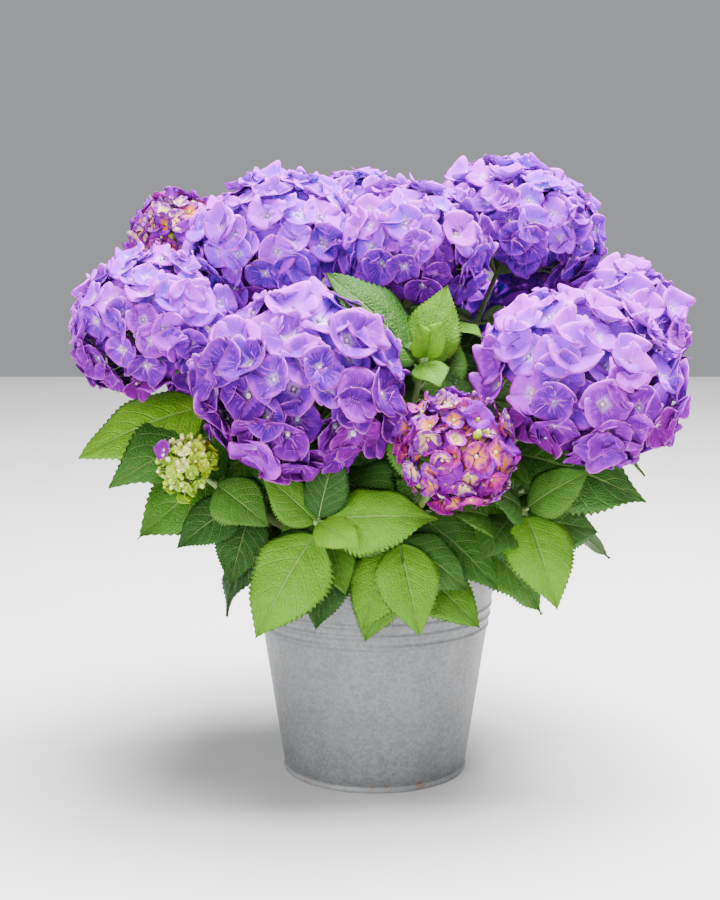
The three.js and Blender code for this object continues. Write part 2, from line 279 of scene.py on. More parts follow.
def fade(value, low, high, to_low=0.0, to_high=1.0):
    """A smooth step of a value from one level to another."""
    made = add_node(tree_of(value), "ShaderNodeMapRange", interpolation_type="SMOOTHSTEP")
    for socket, given in zip(made.inputs, (value, low, high, to_low, to_high)):
        put(socket, given)
    return made.outputs[0]


def blend_colors(share, a, b, blend="MIX"):
    made = add_node(tree_of(share, a, b), "ShaderNodeMix", data_type="RGBA", blend_type=blend)
    for number, value in zip((0, 6, 7), (share, a, b)):
        put(made.inputs[number], value)
    return made.outputs[2]


def split_place(place):
    """The x, y and z of a place."""
    made = add_node(tree_of(place), "ShaderNodeSeparateXYZ")
    put(made.inputs[0], place)
    return made.outputs


def relief(shader, height, strength, distance):
    bump = add_node(shader.id_data, "ShaderNodeBump")
    for name, value in (("Height", height), ("Strength", strength), ("Distance", distance)):
        put(bump.inputs[name], value)
    put(shader.inputs["Normal"], bump.outputs[0])


def new_effect(name, inputs, outputs):
    """A shader node group with named inputs and outputs, and the sockets at its two ends."""
    effect = bpy.data.node_groups.new(name, "ShaderNodeTree")
    for labels, way in ((inputs, "INPUT"), (outputs, "OUTPUT")):
        for label in labels:
            kind = "NodeSocketVector" if label == "Place" else "NodeSocketFloat"
            effect.interface.new_socket(name=label, in_out=way, socket_type=kind)
    return effect, add_node(effect, "NodeGroupInput").outputs, add_node(effect, "NodeGroupOutput").inputs


def add_effect(tree, effect, *values):
    """Places a group in a material with its own values, and gives what the group puts out."""
    made = add_node(tree, "ShaderNodeGroup", node_tree=effect)
    for socket, value in zip(made.inputs, values):
        put(socket, value)
    return made.outputs


def layered(color, *layers):
    """A colour under some layers, each a share and a colour of its own."""
    for share, over in layers:
        color = blend_colors(share, color, over)
    return color


# Small cells, as in zinc spangle and in crumbs: two random tones for each cell, and the distance from
# its middle.
small_cells, given, sent = new_effect("small_cells", ("Place", "Scale"), ("Tone", "Second Tone", "Distance"))
cell_pattern = add_node(small_cells, "ShaderNodeTexVoronoi", feature="F1")
put(cell_pattern.inputs["Vector"], given["Place"])
put(cell_pattern.inputs["Scale"], given["Scale"])
cell_tones = add_node(small_cells, "ShaderNodeSeparateColor")
put(cell_tones.inputs[0], cell_pattern.outputs["Color"])
put(sent["Tone"], cell_tones.outputs[0])
put(sent["Second Tone"], cell_tones.outputs[1])
put(sent["Distance"], cell_pattern.outputs["Distance"])

zinc, zinc_tree, zinc_shader = new_material("galvanised_zinc", Metallic=0.2)
zinc_place = object_place(zinc_tree)
spangle = add_effect(zinc_tree, small_cells, zinc_place, 330)["Tone"]
zinc_clouds = clouds(zinc_place, 30, 6, 0.66, 0.4)
zinc_grit = clouds(zinc_place, 420, 2, 0.6)
zinc_streaks = clouds(object_place(zinc_tree, (55, 55, 5)), 1, 4, 0.6)
zinc_tone = weighed((spangle, 0.20), (zinc_clouds, 0.38), (zinc_streaks, 0.26), (zinc_grit, 0.42))
# The zinc's tones are partly its own dull grey and partly painted shade: they are held darker than bare zinc
# for the shrub that hangs over the bucket.
zinc_color = color_steps(fade(zinc_tone, 0.44, 0.82), [
    (0.118, 0.126, 0.132), (0.146, 0.154, 0.161), (0.180, 0.189, 0.196)])
zinc_height = split_place(zinc_place)[2]
rust = calc("MULTIPLY", fade(clouds(zinc_place, 75, 5, 0.65), 0.56, 0.64), fade(zinc_height, 0.013, 0.005))
# Painted highlight: the bottom of the foot seam is lightened towards pale zinc, as a shine along the base
# rim.
painted_foot_shine = calc("MULTIPLY", fade(zinc_height, 0.0075, 0.0055), 0.25)
put(zinc_shader.inputs["Base Color"], layered(
    zinc_color, (rust, (0.16, 0.065, 0.03)), (painted_foot_shine, (0.55, 0.57, 0.58))))
put(zinc_shader.inputs["Roughness"], fade(zinc_tone, 0.3, 0.9, 0.58, 0.42))
relief(zinc_shader, zinc_tone, 0.25, 0.0012)
bucket = new_piece("zinc_bucket", bucket_shape, zinc)
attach(bucket, "root")
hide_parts("zinc_pot")

# Potting soil: peat with bark crumbs, pressed down round the shrub and a little lower at the wall,
# with loose crumbs and chips lying on it.
soil_height = 0.200
soil_edge_drop = 0.003
soil_foot = 0.0048
soil_slack = 0.0006
soil_rings = 26
soil_steps = 110
soil_lump = 0.00175
crumb_count = 420
crumb_clear = 0.006
crumb_least, crumb_growth = 0.0012, 0.0034


def soil_radius(height):
    return wall_radius(height) - pot_wall - soil_slack


def soil_top(x, y):
    """The height of the soil's surface at a place."""
    drop = soil_edge_drop * min(1, math.hypot(x, y) / soil_radius(soil_height)) ** 6
    lumps = noise.noise((x * 60, y * 60, 3.1)) + 0.6 * noise.noise((x * 170, y * 170, 9.7))
    return soil_height - drop + soil_lump * (lumps - 0.6)


soil_edge = soil_height - soil_edge_drop
soil_reach = soil_radius(soil_edge)
soil_outline = [(0, soil_foot), (soil_radius(soil_foot), soil_foot), (soil_reach, soil_edge)]
soil_outline += [(soil_reach * (1 - ring / soil_rings), soil_height) for ring in range(1, soil_rings)]
soil_outline.append((0, soil_height))
soil_shape = turned(soil_outline, soil_steps)
for corner in soil_shape.verts:
    if corner.co.z > soil_edge + 1e-4:
        corner.co.z = soil_top(corner.co.x, corner.co.y)

crumb_pick = np.random.default_rng(41)
for _ in range(crumb_count):
    far = (soil_reach - crumb_clear) * math.sqrt(crumb_pick.random())
    bearing = crumb_pick.random() * 2 * math.pi
    x, y = far * math.cos(bearing), far * math.sin(bearing)
    size = crumb_least + crumb_growth * crumb_pick.random() ** 3
    turn = (Matrix.Rotation(crumb_pick.random() * 6.28, 4, "Z")
            @ Matrix.Rotation((crumb_pick.random() - 0.5) * 0.8, 4, "X"))
    long, flat = size * (0.8 + 1.4 * crumb_pick.random()), size * (0.35 + 0.5 * crumb_pick.random())
    bmesh.ops.create_icosphere(soil_shape, subdivisions=1, radius=1, matrix=(
        Matrix.Translation((x, y, soil_top(x, y) + 0.2 * size)) @ turn
        @ Matrix.Diagonal((long, size, flat, 1))))

peat, peat_tree, peat_shader = new_material("peat", Roughness=0.95)
peat_place = object_place(peat_tree)
peat_grain = clouds(peat_place, 160, 8, 0.7)
crumb_tone, grit_tone, crumb_depth = add_effect(peat_tree, small_cells, peat_place, 330)
peat_color = color_steps(weighed((crumb_tone, 0.45), (peat_grain, 0.7)), [
    (0.012, 0.008, 0.006), (0.035, 0.022, 0.015), (0.075, 0.048, 0.030), (0.115, 0.072, 0.042)])
pale_grit = fade(grit_tone, 0.972, 0.98)
put(peat_shader.inputs["Base Color"], blend_colors(pale_grit, peat_color, (0.42, 0.40, 0.36)))
relief(peat_shader, calc("MULTIPLY_ADD", crumb_depth, -60.0, peat_grain), 0.8, 0.0015)
soil = new_piece("potting_soil_surface", soil_shape, peat, smooth=False)
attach(soil, "root")
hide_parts("potting_soil")

# Woody crown and boughs: the old wood of the shrub forks low on the soil into a bough for each
# flowering stem, with thin tan bark that splits along the limb and swells at the old leaf scars.
crown_radius = 0.034
crown_squash = 0.82
crown_sunk = 0.004
stem_seat = 0.026
stem_sweep = 0.48
bough_end = 0.34
bough_overlap = 0.012
stalk_share = 0.98
bough_radii = (0.0056, 0.0048)
bough_points = 26
bough_sides = 14
bough_flare, flare_points = 0.35, 5
scar_spacing = 0.023
scar_swelling = 0.14
bark_ridge = 0.00045

# Each stem's name, bearing from +X and slope above level at the crown in degrees, reach and height
# of its end, and the radius, flatness and kind of its flower head.
stems = [dict(zip(("name", "bearing", "reach", "height", "slope", "head", "flat", "kind"), row)) for row in (
    ("left", 195, 0.225, 0.467, 45, 0.084, 0.94, "open"),
    ("upper_left", 164, 0.217, 0.553, 55, 0.045, 0.94, "young"),
    ("top_left", 177, 0.104, 0.538, 76, 0.095, 0.8, "open"),
    ("top", 308, 0.063, 0.543, 80, 0.074, 0.86, "open"),
    ("top_back", 99, 0.101, 0.560, 70, 0.066, 0.9, "open"),
    ("front", 245, 0.168, 0.418, 50, 0.099, 0.95, "open"),
    ("top_right", 18, 0.153, 0.558, 68, 0.097, 0.8, "open"),
    ("right", 328, 0.228, 0.421, 45, 0.105, 0.86, "open"),
    ("far_right", 0, 0.255, 0.463, 42, 0.066, 0.9, "open"),
    ("young", 291, 0.203, 0.360, 40, 0.055, 1, "young"),
    ("bud", 216, 0.220, 0.336, 30, 0.030, 0.9, "bud"),
    ("back", 80, 0.212, 0.492, 50, 0.093, 0.85, "open"),
    ("back_left", 139, 0.200, 0.428, 48, 0.090, 0.88, "open"),
    ("back_right", 43, 0.222, 0.418, 48, 0.092, 0.88, "open"),
    ("low_back", 102, 0.222, 0.348, 38, 0.058, 0.95, "young"),
    ("middle", 288, 0.147, 0.443, 62, 0, 1, "leafy"),
    ("low_front_left", 253, 0.189, 0.293, 20, 0, 1, "leafy"),
    ("low_front", 277, 0.161, 0.274, 22, 0, 1, "leafy"),
    ("low_right_front", 315, 0.199, 0.297, 24, 0, 1, "leafy"),
    ("low_right", 14, 0.176, 0.300, 22, 0, 1, "leafy"),
    ("low_back_right", 62, 0.172, 0.292, 24, 0, 1, "leafy"),
    ("low_back_left", 124, 0.172, 0.292, 24, 0, 1, "leafy"),
    ("low_left", 168, 0.176, 0.300, 24, 0, 1, "leafy"),
)]
headed = [stem for stem in stems if stem["head"]]


def direction(bearing, rise):
    bearing, rise = math.radians(bearing), math.radians(rise)
    return Vector((math.cos(rise) * math.cos(bearing), math.cos(rise) * math.sin(bearing), math.sin(rise)))


def on_curve(foot, bend, tip, share):
    """A place on a limb that leaves its foot towards the bend and comes to its tip from there."""
    return foot * (1 - share) ** 2 + bend * (2 * share * (1 - share)) + tip * share ** 2


def along_stem(stem, share):
    return on_curve(*stem["bends"], share)


for stem in stems:
    rise = direction(stem["bearing"], stem["slope"])
    foot = Vector((0, 0, soil_height)) + rise * stem_seat
    tip = direction(stem["bearing"], 0) * stem["reach"] + Vector((0, 0, stem["height"]))
    stem["bends"] = foot, foot + rise * stem_sweep * (tip - foot).length, tip
    stem["side"] = direction(stem["bearing"] + 90, 0)
    stem["end"] = 1
    while stem["head"] and (along_stem(stem, stem["end"]) - tip).length < stalk_share * stem["head"]:
        stem["end"] -= 0.005


def round_limbs(runs, sides):
    """Round limbs with closed ends in one bmesh, each from its points and the radius at each point."""
    spine = bpy.data.curves.new("spine", "CURVE")
    spine.dimensions = "3D"
    spine.bevel_depth = 1
    spine.bevel_resolution = (sides - 4) // 2
    spine.use_fill_caps = True
    for points, radii in runs:
        spline = spine.splines.new("POLY")
        spline.points.add(len(points) - 1)
        spline.points.foreach_set("co", [value for point in points for value in (*point, 1)])
        spline.points.foreach_set("radius", radii)
    holder = bpy.data.objects.new("spine", spine)
    bpy.context.collection.objects.link(holder)
    mesh = bpy.data.meshes.new_from_object(holder.evaluated_get(bpy.context.evaluated_depsgraph_get()))
    bpy.data.objects.remove(holder)
    shape = bmesh.new()
    shape.from_mesh(mesh)
    bpy.data.meshes.remove(mesh)
    bmesh.ops.remove_doubles(shape, verts=shape.verts, dist=1e-6)
    bmesh.ops.recalc_face_normals(shape, faces=shape.faces)
    return shape


def even_shares(low, high, count):
    return [low + (high - low) * i / (count - 1) for i in range(count)]


bough_runs = []
for stem in headed:
    points = [along_stem(stem, share) for share in even_shares(0, bough_end + bough_overlap, bough_points)]
    radii, gone = [], 0
    for i, point in enumerate(points):
        gone += (point - points[i - 1]).length if i else 0
        scar = max(0, math.cos(2 * math.pi * gone / scar_spacing)) ** 6
        flare = max(0, 1 - i / flare_points) ** 2
        taper = bough_radii[0] + (bough_radii[1] - bough_radii[0]) * i / (bough_points - 1)
        radii.append(taper * (1 + scar_swelling * scar + bough_flare * flare))
    bough_runs.append((points, radii))
wood_shape = round_limbs(bough_runs, bough_sides)
dome = bmesh.ops.create_icosphere(wood_shape, subdivisions=5, radius=crown_radius)["verts"]
for corner in dome:
    lump = 1 + 0.16 * noise.noise(corner.co * 70) + 0.06 * noise.noise(corner.co * 210)
    corner.co = Vector((corner.co.x * lump, corner.co.y * lump,
                        soil_height + max(-crown_sunk, corner.co.z * crown_squash * lump)))
wood_shape.normal_update()
for corner in wood_shape.verts:
    furrow = noise.noise((corner.co.x * 420, corner.co.y * 420, corner.co.z * 60))
    corner.co += corner.normal * bark_ridge * (furrow + 0.5 * noise.noise(corner.co * 900))

bark, bark_tree, bark_shader = new_material("shrub_bark", Roughness=0.88)
bark_grain = clouds(object_place(bark_tree, (1, 1, 0.22)), 520, 6, 0.68, 0.3)
bark_patches = clouds(object_place(bark_tree), 90, 3)
put(bark_shader.inputs["Base Color"], color_steps(weighed((bark_patches, 0.5), (bark_grain, 0.6)), [
    (0.055, 0.038, 0.022), (0.13, 0.092, 0.052), (0.24, 0.175, 0.10), (0.34, 0.27, 0.17)]))
relief(bark_shader, bark_grain, 0.7, 0.0008)
wood = new_piece("woody_boughs", wood_shape, bark)
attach(wood, "root")
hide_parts("crown", *[f"bough_{stem['name']}" for stem in headed])

# Leaves: broad toothed leaves in opposite pairs up each shoot, each pair turned a quarter from the
# last. The blade is sunk along its veins and puffed between them, and hangs on a short stalk that
# runs on as the midrib below.
leaf_arch = 0.07
leaf_root = 0.003
leaf_length = 0.122
leaf_length_spread = 0.2
leaf_lean = 62
leaf_sag = 0.3
leaf_face_rise = 38
pair_slack = 24
leaf_tries = 7
try_swing, try_sag, try_shorter = 15, 0.25, 0.05
kept_within = 0.0002

# Each pair of leaves on a shoot: how far up it stands, and its size.
pairs_under_head = ((0.06, 1), (0.35, 1.08), (0.66, 1.02), (0.94, 0.86))
pairs_of_leafy_stem = ((0.2, 0.95), (0.45, 1.05), (0.72, 1), (0.98, 0.78))

# The blade: lengths are shares of the leaf's, but for the thickness.
blade_start = 0.10
blade_half_width = 0.315
blade_thickness = 0.00042
outline_rise, outline_fall = 0.70, 1.22
outline_widest = 0.284
tooth, tooth_forward = 0.044, 0.008
vein_puff = 0.024
midrib_groove = 0.008
side_veins = 7.5
vein_lean, vein_bend = 0.30, 1.15
leaf_rows, leaf_columns = 48, 10
tile_fill = 0.94

# The leaves that show in front: place on the stem, turn, rise, length, the bearing they face, and
# their shade of green from 0, the darkest, to 7. The shade is partly the leaf's own green and partly
# painted shade: leaves that lie in the shrub's shadow, as on the left and under the bud, take dark greens.
shown_leaves = {
    "left": ((0.7, 193, -20, 0.145, 240, 6), (0.6, 218, -15, 0.150, 270, 2), (0.5, 215, -27, 0.152, 270, 3)),
    "right": ((0.63, 352, -18, 0.148, 270, 2),),
    "bud": ((0.86, -48, -20, 0.086, 250, 3), (0.7, 203, -30, 0.080, 270, 1), (0.65, 245, -56, 0.084, 270, 1)),
    "middle": ((0.93, 190, 46, 0.131, 300, 2), (0.93, 11, 73, 0.086, 270, 5), (0.97, -75, -17, 0.056, 270, 4),
               (0.8, 11, -5, 0.088, 270, 2), (1, 253, 49, 0.044, 270, 6), (1, -48, 51, 0.046, 270, 6)),
    "low_front_left": ((0.95, 208, -56, 0.121, 270, 5), (0.95, 171, 41, 0.072, 270, 4),
                       (1, -49, -15, 0.062, 270, 6), (1, -10, 4, 0.113, 270, 5),
                       (0.8, -63, -52, 0.060, 270, 4)),
    "low_front": ((0.9, 223, -61, 0.090, 270, 5), (1, -56, -67, 0.095, 270, 5), (1, 4, -37, 0.086, 270, 2),
                  (0.8, 213, -70, 0.095, 270, 4)),
    "low_right_front": ((1, -18, 33, 0.076, 270, 3), (1, -62, -55, 0.102, 270, 5),
                        (0.9, 247, -30, 0.044, 270, 6), (0.9, 245, -20, 0.076, 270, 2),
                        (0.7, -13, -22, 0.062, 270, 1)),
}
# The greens dealt in turn to the leaves that grow by the rule keep to the darker half, partly as painted
# shade for leaves within the shrub.
shades_inside = (0, 1, 1, 2, 2, 3, 3, 4)

draws = {"last": 2718}


def draw():
    draws["last"] = draws["last"] * 16807 % 2147483647
    return draws["last"] / 2147483647


def heading(stem, share):
    foot, bend, tip = stem["bends"]
    return ((bend - foot) * (1 - share) + (tip - bend) * share).normalized()


def lean_out(stem, share, turn, sag):
    along = heading(stem, share)
    out = (stem["side"] * math.cos(math.radians(turn))
           + stem["side"].cross(along) * math.sin(math.radians(turn)))
    lean = along * math.cos(math.radians(leaf_lean)) + out * math.sin(math.radians(leaf_lean))
    lean.z -= sag
    return lean.normalized()


def new_leaf(stem, share, along, length, facing, shade, shown=False):
    outward = direction(facing, leaf_face_rise)
    face = (outward - along * outward.dot(along)).normalized()
    return {"stem": stem["name"], "root": along_stem(stem, share) - along * leaf_root, "along": along,
            "across": along.cross(face), "face": face, "reach": length + leaf_root, "shade": shade,
            "shown": shown}


# Every other leaf grows by the rule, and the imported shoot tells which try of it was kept.
leaves = []
for stem in stems:
    for share, turn, rise, length, facing, shade in shown_leaves.get(stem["name"], ()):
        leaves.append(new_leaf(stem, share, direction(turn, rise), length, facing, shade, shown=True))
for stem in stems:
    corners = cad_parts[f"shoot_{stem['name']}"].data.vertices
    tips = kdtree.KDTree(len(corners))
    for i, corner in enumerate(corners):
        tips.insert(corner.co, i)
    tips.balance()
    first = 360 * draw()
    for pair, (place, size) in enumerate(pairs_under_head if stem["head"] else pairs_of_leafy_stem):
        share = bough_end + (stem["end"] - bough_end) * place
        for half in (0, 180):
            turn = first + 90 * pair + half + pair_slack * (draw() - 0.5)
            length = leaf_length * size * (1 + leaf_length_spread * (draw() - 0.5))
            for attempt in range(leaf_tries):
                swing = try_swing * math.ceil(attempt / 2) * (1 if attempt % 2 else -1)
                along = lean_out(stem, share, turn + swing, leaf_sag * (1 + try_sag * attempt))
                shorter = length * (1 - try_shorter * attempt)
                if tips.find(along_stem(stem, share) + along * shorter)[2] < kept_within:
                    shade = shades_inside[(7 * len(leaves) + pair) % len(shades_inside)]
                    leaves.append(new_leaf(stem, share, along, shorter, stem["bearing"], shade))
                    break


def arrays_of(shape):
    """A bmesh as arrays: the corners, each face's corners in one row, and the count of each face."""
    shape.verts.index_update()
    made = {"corners": np.array([corner.co for corner in shape.verts]),
            "loops": np.array([corner.index for face in shape.faces for corner in face.verts]),
            "counts": np.array([len(face.verts) for face in shape.faces])}
    shape.free()
    return made


def closed_sheet(columns, rows):
    """A thin closed sheet over a unit square: the top and the underside share their border."""
    shape = bmesh.new()
    bmesh.ops.create_grid(shape, x_segments=columns, y_segments=rows, size=0.5)
    below = bmesh.ops.duplicate(shape, geom=shape.faces[:] + shape.edges[:] + shape.verts[:])["geom"]
    bmesh.ops.reverse_faces(shape, faces=[item for item in below if isinstance(item, bmesh.types.BMFace)])
    inner = [item for item in below
             if isinstance(item, bmesh.types.BMVert) and max(map(abs, item.co[:2])) < 0.499]
    bmesh.ops.translate(shape, verts=inner, vec=(0, 0, -1))
    bmesh.ops.remove_doubles(shape, verts=shape.verts, dist=1e-4)
    return arrays_of(shape)


def joined(name, sheet, placed, tiles, material, under=0):
    """One piece from many copies of a sheet. Placed holds each copy's corners, and tiles its tile on
    the map, from 0 to 15, with the sheet's own x and y spread over the tile. Under is how many tiles
    further the underside lies."""
    copies, corner_count = placed.shape[:2]
    loops = (sheet["loops"] + corner_count * np.arange(copies)[:, None]).ravel()
    counts = np.tile(sheet["counts"], copies)
    mesh = bpy.data.meshes.new(name)
    mesh.vertices.add(copies * corner_count)
    mesh.vertices.foreach_set("co", placed.ravel())
    mesh.loops.add(len(loops))
    mesh.loops.foreach_set("vertex_index", loops)
    mesh.polygons.add(len(counts))
    mesh.polygons.foreach_set("loop_start", np.concatenate(([0], np.cumsum(counts)[:-1])))
    mesh.polygons.foreach_set("loop_total", counts)
    starts = np.cumsum(sheet["counts"]) - sheet["counts"]
    lowest = np.minimum.reduceat(sheet["corners"][sheet["loops"], 2], starts)
    below = np.repeat(lowest < -0.5, sheet["counts"])
    own = sheet["corners"][sheet["loops"], :2] * tile_fill + 0.5
    tile = np.stack([tiles % 4, tiles // 4], 1)[:, None, :] + np.zeros((1, len(own), 1))
    tile[:, below, 0] += under
    spread = (own[None] + tile) / 4
    mesh.update(calc_edges=True)
    mesh.uv_layers.new(name="OFBake").data.foreach_set("uv", spread.ravel())
    mesh.validate()
    return new_piece(name, mesh, material)


def blade_corners(leaf, number, place, across, below):
    """Where the points of a leaf lie. Place runs from the blade's foot to its tip, across from -1 to
    1, and below is the depth under the upper face."""
    sway = np.random.default_rng(900 + number)
    fold, droop, twist = sway.uniform(0.06, 0.30), sway.uniform(0.0, 0.10), sway.uniform(-0.25, 0.25)
    wave, start = sway.uniform(0.010, 0.026), sway.uniform(0, 6.28)
    if leaf["shown"]:
        fold, droop, twist = fold * 0.6, droop * 0.5, twist * 0.3
    out = np.abs(across)
    body = (np.maximum(place, 0) ** outline_rise * np.maximum(1 - place, 0) ** outline_fall
            / outline_widest)
    points_out = np.where(np.round(place * leaf_rows) % 2 == 1, 1.0, -0.9)
    teeth = 1 + tooth * points_out * (out > 0.95) * (place > 0.06) * (place < 0.97)
    side = across * (blade_half_width * body * teeth)
    t = blade_start + (1 - blade_start) * place + tooth_forward * (teeth > 1)
    phase = side_veins * (place - vein_lean * out ** vein_bend) + 0.25 * (across > 0)
    from_vein = np.abs((phase + 0.5) % 1 - 0.5) * 2
    puff = (from_vein ** 0.7 * np.minimum(1, out * 5) * (1 - out ** 3)
            * np.minimum(1, 6 * place) * (1 - place) ** 0.5)
    arch, sag = 4 * leaf_arch * t * (1 - t), droop * place ** 3
    folded, rolled = fold * np.abs(side), 0.55 * side ** 2 * (1 + wave * 30)
    groove = midrib_groove * np.exp(-(out / 0.09) ** 2)
    ruffle = wave * np.sin(start + 15 * place + 1.5 * np.sign(across)) * out ** 3
    lift = arch + folded - rolled - sag + vein_puff * puff - groove + ruffle + twist * side * place
    along, width, face = (np.array(leaf[way]) for way in ("along", "across", "face"))
    blade = leaf["reach"] * (t[..., None] * along + side[..., None] * width + lift[..., None] * face)
    return np.array(leaf["root"]) + blade + (below * blade_thickness)[..., None] * face


leaf_sheet = closed_sheet(leaf_columns, leaf_rows)
leaf_place = leaf_sheet["corners"][:, 1] + 0.5
leaf_across = leaf_sheet["corners"][:, 0] * 2
leaf_below = leaf_sheet["corners"][:, 2]

# The tiles of the map, as leaves, petals and hearts read them: the tile's column and row, and the
# place in the tile, across from -1 to 1 and along from 0 to 1.
tile_map, _, sent = new_effect("tile_map", (), ("Column", "Row", "Across", "Along"))
map_place = split_place(add_node(tile_map, "ShaderNodeUVMap", uv_map="OFBake").outputs[0])
for i, (start, width) in enumerate(((0.5, tile_fill / 2), ((1 - tile_fill) / 2, tile_fill))):
    tiles_along = calc("MULTIPLY", map_place[i], 4.0)
    put(sent[i], calc("FLOOR", tiles_along))
    put(sent[i + 2], calc("DIVIDE", calc("SUBTRACT", calc("FRACT", tiles_along), start), width))


def new_place(x, y, z):
    made = add_node(tree_of(x, y, z), "ShaderNodeCombineXYZ")
    for socket, value in zip(made.inputs, (x, y, z)):
        put(socket, value)
    return made.outputs[0]


def tile_place(column, row, across, along, width=1.0):
    """A place for noise that differs from tile to tile."""
    return new_place(calc("MULTIPLY", across, width), along, weighed((row, 7.3), (column, 3.1)))


def tile_color(number, colors):
    """The colour that goes with the number of a tile's row or column."""
    return color_steps(calc("DIVIDE", calc("ADD", number, 0.5), len(colors)), colors, "CONSTANT")


leaf_green, green_tree, green_shader = new_material(
    "leaf_green", Subsurface_Weight=0.12, Subsurface_Radius=(0.5, 1.0, 0.2), Subsurface_Scale=0.002,
    Specular_IOR_Level=0.22)
column, row, across, along = add_effect(green_tree, tile_map)
underside = calc("GREATER_THAN", column, 1.5)
greens = tile_color(calc("MULTIPLY_ADD", row, 2.0, calc("MODULO", column, 2.0)), [
    (0.011, 0.048, 0.008), (0.020, 0.080, 0.010), (0.033, 0.120, 0.012), (0.052, 0.165, 0.013),
    (0.072, 0.215, 0.009), (0.098, 0.272, 0.008), (0.140, 0.345, 0.009), (0.215, 0.430, 0.012)])
leaf_noise_place = tile_place(column, row, across, along, 0.36)
blotch = clouds(leaf_noise_place, 5, 4, 0.6, 0.5)
out = calc("ABSOLUTE", across)
vein_start = calc("MULTIPLY", calc("POWER", out, vein_bend), vein_lean)
phase = calc("MULTIPLY_ADD", calc("GREATER_THAN", across, 0.0), 0.25, calc(
    "MULTIPLY", calc("SUBTRACT", along, vein_start), side_veins))
wander = calc("MULTIPLY", calc("SUBTRACT", blotch, 0.5), 0.16)
from_vein = calc("ABSOLUTE", calc("SUBTRACT", calc(
    "FRACT", calc("ADD", calc("ADD", phase, wander), 0.5)), 0.5))
side_vein = calc("MULTIPLY", fade(from_vein, 0.070, 0.018), fade(out, 1.0, 0.75))
midrib = fade(out, 0.055, 0.015)
net = add_node(green_tree, "ShaderNodeTexVoronoi", feature="DISTANCE_TO_EDGE")
put(net.inputs["Vector"], leaf_noise_place)
put(net.inputs["Scale"], 28)
from_net = net.outputs["Distance"]
small_veins = fade(from_net, 0.09, 0.0)
veins = calc("MAXIMUM", midrib, calc(
    "MAXIMUM", calc("MULTIPLY", side_vein, 0.95), calc("MULTIPLY", small_veins, 0.08)))
blade = blend_colors(fade(blotch, 0.35, 0.7, 0.0, 0.45), greens, (1.45, 1.25, 1.1), "MULTIPLY")
blade = blend_colors(fade(from_vein, 0.12, 0.45, 0.0, 0.25), blade, (0.72, 0.78, 0.75), "MULTIPLY")
vein_color = blend_colors(0.5, greens, (0.32, 0.46, 0.13))
put(green_shader.inputs["Base Color"], layered(
    blade, (calc("MULTIPLY", veins, 0.62), vein_color),
    (calc("MULTIPLY", underside, 0.5), (0.22, 0.33, 0.14))))
put(green_shader.inputs["Roughness"], fade(blotch, 0.3, 0.7, 0.40, 0.56))
crinkle = weighed((calc("MINIMUM", calc("MULTIPLY", from_net, 5.0), 1.0), 0.20), (blotch, 0.9))
relief(green_shader, calc("MULTIPLY_ADD", veins, -0.9, crinkle), 0.8, 0.0026)

front_leaves = [i for i, leaf in enumerate(leaves) if leaf["root"].y < 0.0]
back_leaves = [i for i, leaf in enumerate(leaves) if leaf["root"].y >= 0.0]
for name, chosen in (("leaves_front", front_leaves), ("leaves_back", back_leaves)):
    placed = np.stack([blade_corners(leaves[i], i, leaf_place, leaf_across, leaf_below) for i in chosen])
    shades = np.array([leaves[i]["shade"] for i in chosen])
    piece = joined(name, leaf_sheet, placed, shades % 2 + 4 * (shades // 2), leaf_green, under=2)
    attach(piece, "root")
    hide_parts(*sorted({f"shoot_{leaves[i]['stem']}" for i in chosen}))

# Green shoots: this year's growth from each bough, swollen where a leaf pair stands, with the leaf
# stalks that grow from it and run on under each blade as its midrib.
shoot_radii = (0.0046, 0.0034)
shoot_points = 40
shoot_sides = 8
node_swelling, node_length = 0.22, 0.016
leaf_stalk_radii = ((0, 0.0026), (0.03, 0.0019), (0.10, 0.0015), (0.16, 0.0012), (0.6, 0.0007),
                    (0.97, 0.0003))
leaf_stalk_sunk = 0.75
leaf_stalk_points = np.array([0.0, 0.03, 0.06, 0.10, 0.14, 0.2, 0.3, 0.42, 0.55, 0.7, 0.85, 0.97])

shoot_runs = []
for stem in stems:
    low = bough_end if stem["head"] else 0
    shares = even_shares(low, stem["end"], shoot_points)
    pairs = pairs_under_head if stem["head"] else pairs_of_leafy_stem
    nodes_at = [bough_end + (stem["end"] - bough_end) * place for place, _ in pairs]
    radii = []
    for share in shares:
        gone = (share - low) / (stem["end"] - low)
        swell = max(math.exp(-((share - at) / node_length) ** 2) for at in nodes_at)
        taper = shoot_radii[0] + (shoot_radii[1] - shoot_radii[0]) * gone
        radii.append(taper * (1 + node_swelling * swell))
    shoot_runs.append(([along_stem(stem, share) for share in shares], radii))
middle_line = np.zeros(len(leaf_stalk_points))
for i, leaf in enumerate(leaves):
    places = (leaf_stalk_points - blade_start) / (1 - blade_start)
    run = blade_corners(leaf, i, places, middle_line, middle_line)
    thick = np.interp(leaf_stalk_points, *zip(*leaf_stalk_radii))
    below_blade = np.minimum(1, leaf_stalk_points / blade_start)[:, None]
    run = run - thick[:, None] * leaf_stalk_sunk * np.array(leaf["face"]) * below_blade
    run[0] = np.array(leaf["root"])
    shoot_runs.append((run.tolist(), thick.tolist()))

